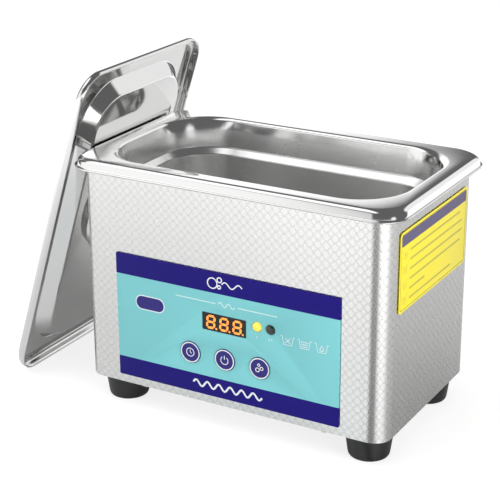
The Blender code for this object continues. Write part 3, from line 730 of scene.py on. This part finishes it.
def key_signs():
    """Generic sign on each key: a clock, a power mark and bubbles."""
    return {
        "key_time": [circle((0.0, 0.0), 2.1, 32) + [(2.1, 0.0)], [(0.0, 1.3), (0.0, 0.0),
                                                                (0.9, -0.5)]],
        "key_power": [arc((0.0, -0.2), 2.0, 125.0, 415.0), [(0.0, 2.3), (0.0, 0.3)]],
        "key_degas": [circle((-1.0, -0.9), 1.0, 20) + [(0.0, -0.9)],
                      circle((1.2, 0.1), 0.8, 20) + [(2.0, 0.1)],
                      circle((-0.3, 1.7), 0.6, 20) + [(0.3, 1.7)]],
    }


def make_keys():
    """Round navy keys with a white ring and a sign, each on its own body."""
    navy = plastic("key_navy", (0.017, 0.010, 0.190), 0.40)
    white = ink("ink_white", (0.86, 0.88, 0.90))
    signs = key_signs()
    face_on = Matrix.Rotation(math.pi / 2, 4, "X")
    for name in KEYS:
        low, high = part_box(name)
        x, z = node_centre(name)
        depth = (high.y - low.y) / MM
        profile = ((0.0, 0.0), (4.9, 0.0), (5.25, -0.04), (5.45, -0.15),
                   (KEY_RADIUS, -0.4), (KEY_RADIUS, -2.2), (6.6, -2.2), (6.6, -3.2),
                   (2.0, -3.2), (2.0, -depth), (0.0, -depth))
        cap = turned(f"cap_{name}", profile, Vector((CENTRE_X + x * MM, low.y, z * MM)), navy,
                     face_on, 72)
        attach(cap, name)
        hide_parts(name)
        place = Matrix.Translation((0.0, low.y - PANEL_LOW.y, 0.0)) @ FRONT
        ring = outline_mesh(f"ring_{name}", [circle((x, z), 5.3, 72), circle((x, z), 4.72, 72)],
                            PRINT_RISE)
        on_face(f"ring_{name}", ring, place, white, name)
        lines = [moved(line, (x, z)) for line in signs[name]]
        on_face(f"sign_{name}", stroke_mesh(f"sign_{name}", lines, 0.42, PRINT_RISE), place,
                white, name)


def make_panel_print():
    """Plain badge, bubbles-and-wave mark, wave lines and tank signs."""
    white = ink("panel_white", (0.84, 0.86, 0.90))
    pale = ink("panel_pale", (0.60, 0.80, 0.80))
    navy = ink("panel_navy", (0.014, 0.008, 0.185), 0.42)
    badge = (-42.9, 59.6)
    outer = rounded_loop((badge[0] - 8.3, badge[0] + 8.3), (badge[1] - 3.8, badge[1] + 3.8), 3.7)
    inner = rounded_loop((badge[0] - 7.8, badge[0] + 7.8), (badge[1] - 3.3, badge[1] + 3.3), 3.2)
    on_face("badge_ring", outline_mesh("badge_ring", [outer, inner], PRINT_RISE), FRONT, white)
    on_face("badge_field", outline_mesh("badge_field", [inner], PRINT_RISE), FRONT, navy)
    marks = [wave(badge, 9.0, 1.0, 2.0), wave((3.0, 77.6), 11.0, 1.3, 1.5)]
    for bubble in ((-7.6, 77.4, 2.6), (-3.7, 79.6, 1.2), (-3.9, 76.0, 0.8)):
        ring = circle(bubble[:2], bubble[2], 28)
        marks.append(ring + ring[:1])
    on_face("white_marks", stroke_mesh("white_marks", marks, 0.62, PRINT_RISE), FRONT, white)
    base = [wave((0.0, 23.8), 38.0, 1.5, 6.0)]
    on_face("base_wave", stroke_mesh("base_wave", base, 1.0, PRINT_RISE), FRONT, white)
    title = [[(-28.0, 67.3), (-6.0, 67.3)], wave((0.0, 67.3), 9.0, 1.1, 2.0),
             [(6.0, 67.3), (27.0, 67.3)]]
    on_face("title_line", stroke_mesh("title_line", title, 0.55, PRINT_RISE), FRONT, pale)
    signs = []
    for x, inner_sign in zip((32.7, 41.5, 50.3), (cross_sign(), level_sign(), flame_sign())):
        for line in basin_sign() + inner_sign:
            signs.append(moved(line, (x, 56.7)))
    for count, name in enumerate(LAMPS, start=1):
        x, z = node_centre(name)
        for step in range(count):
            at = x + (step - (count - 1) / 2) * 1.4
            signs.append([(at, z - 4.6), (at, z - 5.6)])
    on_face("tank_signs", stroke_mesh("tank_signs", signs, 0.34, PRINT_RISE), FRONT, white)


def wave(centre, length, height, turns):
    """A sine line."""
    steps = int(16 * turns)
    return [(centre[0] + length * (step / steps - 0.5),
             centre[1] + height * math.sin(2 * math.pi * turns * step / steps))
            for step in range(steps + 1)]


def drop(centre, size):
    """Outline of a water drop."""
    round_part = arc((centre[0], centre[1] - size * 0.25), size * 0.62, 150.0, 390.0, 18)
    tip = (centre[0], centre[1] + size)
    return [tip] + round_part + [tip]


def basin_sign():
    """Small tank seen from the side."""
    return [[(-3.6, 1.9), (-2.9, 1.9), (-2.1, -2.3), (2.1, -2.3), (2.9, 1.9), (3.6, 1.9)]]


def cross_sign():
    """Crossed strokes inside the basin."""
    return [[(-1.3, 1.0), (1.3, -1.4)], [(1.3, 1.0), (-1.3, -1.4)]]


def level_sign():
    """Lines of liquid inside the basin."""
    return [[(-2.0, 0.9), (2.0, 0.9)], [(-1.7, -0.2), (1.7, -0.2)], [(-1.5, -1.3), (1.5, -1.3)]]


def flame_sign():
    """Pointed drop inside the basin."""
    return [drop((0.0, -0.3), 1.5)]


# ---------------------------------------------------------------- side label

def make_label():
    """Yellow sticker with a border, a plain heading and rows of stripes."""
    y_range = (LABEL_LOW.y / MM, LABEL_HIGH.y / MM)
    z_range = (LABEL_LOW.z / MM, LABEL_HIGH.z / MM)
    thickness = (LABEL_HIGH.x - LABEL_LOW.x) / MM
    yellow = plastic("label_yellow", (0.86, 0.735, 0.035), 0.38, vary=0.03)
    dark = ink("label_dark", (0.10, 0.09, 0.03))
    violet = ink("label_violet", (0.10, 0.085, 0.17))
    grey = ink("label_grey", (0.46, 0.42, 0.06))
    mesh = outline_mesh("side_label", [rounded_loop(y_range, z_range, 2.2)], thickness, 0.05)
    label = on_face("side_label", mesh, RIGHT_SIDE, yellow, lift=-thickness)
    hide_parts("warning_label")
    inset = 1.3
    edge = rounded_loop((y_range[0] + inset, y_range[1] - inset),
                        (z_range[0] + inset, z_range[1] - inset), 1.4)
    on_face("label_border", stroke_mesh("label_border", [edge + edge[:1]], 0.28, 0.03),
            RIGHT_SIDE, dark)
    heading = rounded_loop((y_range[0] + 1.6, y_range[1] - 1.6),
                           (z_range[1] - 7.0, z_range[1] - 1.6), 0.9)
    on_face("label_heading", outline_mesh("label_heading", [heading], 0.04), RIGHT_SIDE, violet)
    rows = []
    lengths = (58.0, 60.5, 61.0, 59.0, 17.0, 48.0)
    for row, length in enumerate(lengths):
        z = z_range[1] - 10.6 - row * 4.7
        rows.append([(y_range[0] + 11.0, z), (y_range[0] + 11.0 + length, z)])
    on_face("label_stripes", stroke_mesh("label_stripes", rows, 1.0, 0.03), RIGHT_SIDE, grey)
    signs = []
    for row, sign in enumerate((cross_sign(), level_sign(), flame_sign(), cross_sign())):
        place = (y_range[0] + 5.6, z_range[1] - 11.2 - row * 7.2)
        for line in basin_sign() + sign:
            signs.append(moved(line, place, 0.85))
    on_face("label_signs", stroke_mesh("label_signs", signs, 0.32, 0.03), RIGHT_SIDE, grey)


# ---------------------------------------------------------------- lid

LID_LEAN = math.radians(17.4)
LID_HALF = 87.0
LID_SKIRT = 4.3
LID_PANEL = SHEET - 6.5
LID_FOOT = CENTRE + Vector((-133.43, 6.7, 1.29)) * MM
LID_PATH = (
    (LID_HALF, 13.0, -LID_SKIRT, 0.0), (LID_HALF, 13.0, SHEET, 2.6), (76.9, 23.4, SHEET, 1.6),
    (71.0, 17.9, LID_PANEL, 1.5), (25.2, 25.2, LID_PANEL, 0.0),
)
WELL_PATH = (
    (25.2, 25.2, LID_PANEL, 0.0), (24.1, 24.1, LID_PANEL, 1.0), (21.3, 21.3, -13.0, 2.4),
    (8.0, 8.0, -13.0, 0.0),
)


def lid_matrix():
    """Pose of the lid: long side up, leaning against the rim, underside to the cleaner."""
    along = Vector((math.sin(LID_LEAN), 0.0, math.cos(LID_LEAN)))
    place = LID_FOOT + along * LID_HALF * MM
    return Matrix.Translation(place) @ Matrix.Rotation(LID_LEAN - math.pi / 2, 4, "Y")


def make_lid(material):
    """Pressed lid with its finger well, and the strap handle across the well."""
    rings = plan_rings(rounded_path(LID_PATH, 6))[:-1]
    rings += [ring_points(radius, radius, radius, height)
              for radius, _, height in rounded_path(WELL_PATH, 5)]
    shell = skin("pressed_lid", rings, material, thickness=SHEET)
    shell.data.transform(lid_matrix())
    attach(shell, "lid")
    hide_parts("lid_shell")
    make_handle(material)


def make_handle(material):
    """Bent strap, welded at both ends."""
    foot = LID_PANEL + 0.3
    thick = 1.5
    line = rounded_line(((-30.0, foot), (-24.6, foot), (-17.6, 1.9), (17.6, 1.9), (24.6, foot),
                         (30.0, foot)), 3.0)
    bm = bmesh.new()
    half = 6.0
    for y, z in line:
        for x in (-half, half):
            bm.verts.new((x * MM, y * MM, z * MM))
    bm.verts.ensure_lookup_table()
    for index in range(len(line) - 1):
        a = index * 2
        bm.faces.new((bm.verts[a], bm.verts[a + 1], bm.verts[a + 3], bm.verts[a + 2]))
    strap = from_bmesh("strap_handle", bm, material)
    sheet = strap.modifiers.new("sheet", "SOLIDIFY")
    sheet.thickness = thick * MM
    sheet.offset = 1.0
    edges = strap.modifiers.new("edges", "BEVEL")
    edges.width = 0.35 * MM
    edges.segments = 3
    strap.data.transform(lid_matrix())
    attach(strap, "lid")
    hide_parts("lid_handle")


def rounded_line(corners, radius, steps=6):
    """Polyline with its inner corners rounded."""
    rows = tuple((y, 0.0, z, radius) for y, z in corners)
    return [(y, z) for y, _, z in rounded_path(rows, steps)]


# ---------------------------------------------------------------- carried-over nodes

def node_looks():
    """Material of each slot for the nodes that keep their CAD shape."""
    return {
        "plated_steel": metal("zinc_plate", (0.66, 0.66, 0.64), 0.30),
        "rubber": rubber(),
        "black_plastic": plastic("moulded_black", (0.014, 0.014, 0.015), 0.42, grain=0.3),
        "circuit_board": plastic("solder_mask", (0.012, 0.13, 0.055), 0.38, grain=0.2, vary=0.3),
        "brass": metal("turned_brass", (0.76, 0.56, 0.27), 0.25),
        "aluminium": metal("machined_aluminium", (0.80, 0.80, 0.82), 0.28, (1.0, 1.0, 8.0)),
        "piezo_ceramic": plastic("fired_ceramic", (0.34, 0.32, 0.27), 0.6, grain=0.5, vary=0.2),
        "ferrite": plastic("sintered_ferrite", (0.12, 0.115, 0.11), 0.65, grain=0.6, vary=0.3),
        "film_red": plastic("dipped_red", (0.42, 0.06, 0.03), 0.30, coat=0.4),
        "sleeve_grey": plastic("shrink_sleeve", (0.05, 0.055, 0.085), 0.32),
        "copper": metal("wound_copper", (0.74, 0.34, 0.17), 0.30, (1.0, 1.0, 12.0), 0.8),
        "ivory_plastic": plastic("moulded_ivory", (0.68, 0.63, 0.51), 0.45, grain=0.3),
        "wire_red": plastic("lead_red", (0.45, 0.02, 0.02), 0.4),
        "wire_black": plastic("lead_black", (0.015, 0.015, 0.015), 0.4),
        "ribbon_grey": plastic("lead_grey", (0.42, 0.42, 0.42), 0.5),
    }


def paint_nodes(replaced_slots):
    """Paint every CAD node by its slot; nodes with stand-ins get their stand-in's look."""
    looks = node_looks()
    looks.update(replaced_slots)
    for entry in frame["record"]["subparts"]:
        mesh = frame["nodes"][entry["node"]].data
        mesh.materials.clear()
        mesh.materials.append(looks[entry["material_slot"]])
        mesh.shade_smooth()
        mesh.set_sharp_from_angle(angle=math.radians(35))


# ---------------------------------------------------------------- stage

CAMERA_PLACE = Vector((331.9, -609.1, 342.2)) * MM + CENTRE
CAMERA_YAW = math.radians(29.72)
CAMERA_PITCH = math.radians(20.80)
CAMERA_ROLL = math.radians(-0.275)
CAMERA_LENS = 108.3


def make_camera():
    """Camera to the front right, looking down on the cleaner."""
    data = bpy.data.cameras.new("camera")
    data.lens = CAMERA_LENS
    data.sensor_width = 36.0
    data.clip_end = 20.0
    camera = bpy.data.objects.new("camera", data)
    bpy.context.scene.collection.objects.link(camera)
    camera.matrix_world = (Matrix.Translation(CAMERA_PLACE)
                           @ Matrix.Rotation(CAMERA_YAW, 4, "Z")
                           @ Matrix.Rotation(math.pi / 2 - CAMERA_PITCH, 4, "X")
                           @ Matrix.Rotation(CAMERA_ROLL, 4, "Z"))
    bpy.context.scene.camera = camera


def area_light(name, place, target, size, power):
    """Rectangular soft light aimed at a point; it doesn't show in the picture itself."""
    data = bpy.data.lights.new(name, "AREA")
    data.shape = "RECTANGLE"
    data.size, data.size_y = size
    data.energy = power
    light = bpy.data.objects.new(name, data)
    bpy.context.scene.collection.objects.link(light)
    direction = Vector(target) - Vector(place)
    light.matrix_world = (Matrix.Translation(place)
                          @ direction.to_track_quat("-Z", "Y").to_matrix().to_4x4())
    light.visible_camera = False
    return light


def direction_glow(tree, direction, towards, inner, outer):
    """1 inside a cone about a direction, fading to 0 at its outer edge."""
    dot = tree.nodes.new("ShaderNodeVectorMath")
    dot.operation = "DOT_PRODUCT"
    dot.inputs[1].default_value = Vector(towards).normalized()
    tree.links.new(direction, dot.inputs[0])
    return ramp(tree, dot.outputs["Value"], math.cos(math.radians(outer)),
                math.cos(math.radians(inner)), 0.0, 1.0, True)


# Studio as reflections see it: (direction, inner and outer angle of the soft box, strength)
SOFT_BOXES = (
    ((-0.9, -0.75, 0.10), 22.0, 40.0, 0.95),
    ((-0.67, 0.72, 0.20), 15.0, 23.0, 1.15),
    ((-0.46, -0.30, 0.85), 18.0, 28.0, 1.25),
    ((0.36, 0.87, 0.30), 20.0, 29.0, 0.85),
    ((1.0, -0.40, 0.22), 5.0, 13.0, 0.9),
)
HORIZON = ((0.25, -1.0, 0.0), 48.0, 66.0)
HORIZON_HEIGHT = (0.10, 0.22, 0.95, 0.0)
STUDIO_DARK = 0.13


def make_world():
    """White backdrop to the eye, and a dim room with soft boxes in reflections."""
    world = bpy.data.worlds.new("studio")
    world.use_nodes = True
    tree = world.node_tree
    background = tree.nodes["Background"]
    coords = tree.nodes.new("ShaderNodeTexCoord")
    total = None
    for towards, inner, outer, strength in SOFT_BOXES:
        glow = math_node(tree, "MULTIPLY", direction_glow(tree, coords.outputs["Generated"],
                                                          towards, inner, outer), strength)
        total = glow if total is None else math_node(tree, "ADD", total, glow)
    parts = tree.nodes.new("ShaderNodeSeparateXYZ")
    tree.links.new(coords.outputs["Generated"], parts.inputs[0])
    low = ramp(tree, parts.outputs["Z"], *HORIZON_HEIGHT, True)
    ahead = direction_glow(tree, coords.outputs["Generated"], *HORIZON)
    total = math_node(tree, "MAXIMUM", total, math_node(tree, "MULTIPLY", low, ahead))
    total = math_node(tree, "ADD", total, STUDIO_DARK)
    seen = tree.nodes.new("ShaderNodeLightPath").outputs["Is Camera Ray"]
    tree.links.new(mix_colour(tree, seen, total, (1.0, 1.0, 1.0)), background.inputs["Color"])
    bpy.context.scene.world = world


# Floor as reflections see it: shaded in sectors about the cleaner's corner, white far off
FLOOR_NEAR_FAR = (0.15, 0.60)
FLOOR_GLOW = (0.13, 0.52)
FLOOR_HUB = (CENTRE_X + 73.0 * MM, CENTRE_Y - 40.5 * MM)
FLOOR_SECTORS = (  # degrees from straight ahead, anticlockwise from above, and the shade there
    (-180.0, 0.75), (-165.0, 0.95), (-60.0, 0.80), (-42.0, 0.86), (-30.0, 1.0), (-18.0, 1.0),
    (-4.0, 0.26), (20.0, 0.26), (42.0, 1.1), (66.0, 1.1), (95.0, 0.55), (170.0, 0.60),
    (180.0, 0.75),
)
FLOOR_ALBEDO = 0.76
FLOOR_SWEEP = (0.55, 1.1, 0.0, 0.75)
# and as the eye sees it
FLOOR_EYE_ALBEDO = 0.30
FLOOR_EYE_GLOW = 0.80


def sector_shade(tree, place):
    """Shade of the floor by its bearing from the cleaner's front right corner."""
    parts = tree.nodes.new("ShaderNodeSeparateXYZ")
    tree.links.new(place, parts.inputs[0])
    right = math_node(tree, "SUBTRACT", parts.outputs["X"], FLOOR_HUB[0])
    ahead = math_node(tree, "SUBTRACT", FLOOR_HUB[1], parts.outputs["Y"])
    bearing = ramp(tree, math_node(tree, "ARCTAN2", right, ahead), -math.pi, math.pi, 0.0, 1.0)
    table = tree.nodes.new("ShaderNodeValToRGB")
    stops = table.color_ramp.elements
    for index, (angle, shade) in enumerate(FLOOR_SECTORS):
        at = (angle + 180.0) / 360.0
        stop = stops[index] if index < 1 else stops.new(at)
        stop.position = at
        stop.color = (shade, shade, shade, 1.0)
    tree.links.new(bearing, table.inputs[0])
    return table.outputs["Color"]


def either(tree, switch, when_off, when_on):
    """Blend two numbers, the first of them a socket, by a switch."""
    made = tree.nodes.new("ShaderNodeMix")
    tree.links.new(switch, made.inputs[0])
    tree.links.new(when_off, made.inputs[2])
    made.inputs[3].default_value = when_on
    return made.outputs[0]


def floor_material():
    """White sweep, with its own shade in reflections."""
    material, tree, shader = new_material("white_floor")
    shader.inputs["Roughness"].default_value = 0.9
    shader.inputs["Specular IOR Level"].default_value = 0.0
    place = place_coords(tree)
    distance = tree.nodes.new("ShaderNodeVectorMath")
    distance.operation = "LENGTH"
    tree.links.new(place, distance.inputs[0])
    away = ramp(tree, distance.outputs["Value"], *FLOOR_NEAR_FAR, *FLOOR_GLOW)
    sweep = ramp(tree, distance.outputs["Value"], *FLOOR_SWEEP)
    shade = sector_shade(tree, place)
    seen = tree.nodes.new("ShaderNodeLightPath").outputs["Is Camera Ray"]
    albedo = either(tree, seen, math_node(tree, "MULTIPLY", shade, FLOOR_ALBEDO),
                    FLOOR_EYE_ALBEDO)
    shaded = math_node(tree, "MULTIPLY", away, shade)
    glow = either(tree, seen, math_node(tree, "ADD", shaded, sweep), FLOOR_EYE_GLOW)
    tree.links.new(albedo, shader.inputs["Base Color"])
    shader.inputs["Emission Color"].default_value = (1.0, 1.0, 1.0, 1.0)
    tree.links.new(glow, shader.inputs["Emission Strength"])
    return material


def make_stage():
    """Floor, surroundings and the two area lights."""
    bm = bmesh.new()
    bmesh.ops.create_grid(bm, x_segments=1, y_segments=1, size=4.0)
    from_bmesh("floor", bm, floor_material())
    make_world()
    middle = CENTRE + Vector((0.0, 0.0, 0.08))
    overhead = area_light("overhead", (-0.2, -0.3, 1.5), middle, (1.6, 1.6), 15.0)
    overhead.visible_glossy = False
    fill = area_light("fill", (1.4, -0.5, 0.5), middle, (0.8, 0.8), 15.5)
    fill.visible_glossy = False
    scene = bpy.context.scene
    scene.view_settings.view_transform = "Standard"
    scene.view_settings.look = "None"


def build():
    """Paint the carried-over nodes, then make the stand-ins, the camera and the stage."""
    tank_steel = polished_steel("polished_steel", 0.88, satin_below=(RIM_TOP - 5.0) * MM)
    lid_steel = polished_steel("lid_steel", 0.82, 0.05, 0.12, 0.08)
    sleeve_steel = embossed_steel()
    foot_rubber = rubber()
    paint_nodes({
        "polished_steel": tank_steel, "embossed_steel": sleeve_steel,
        "panel_print": panel_film(), "label_yellow": plastic("label_base", (0.86, 0.735, 0.035),
                                                             0.38),
        "dark_acrylic": plastic("acrylic_base", (0.006, 0.006, 0.007), 0.16),
        "lens_amber": plastic("amber_base", (0.9, 0.5, 0.05), 0.2),
        "lens_dark": plastic("dark_base", (0.012, 0.022, 0.016), 0.15),
        "key_blue": plastic("key_base", (0.017, 0.010, 0.190), 0.40),
    })
    make_tank(tank_steel)
    make_housing(sleeve_steel)
    make_feet(foot_rubber)
    make_overlay()
    make_display()
    make_lamps()
    make_keys()
    make_panel_print()
    make_label()
    make_lid(lid_steel)
    make_camera()
    make_stage()


build()
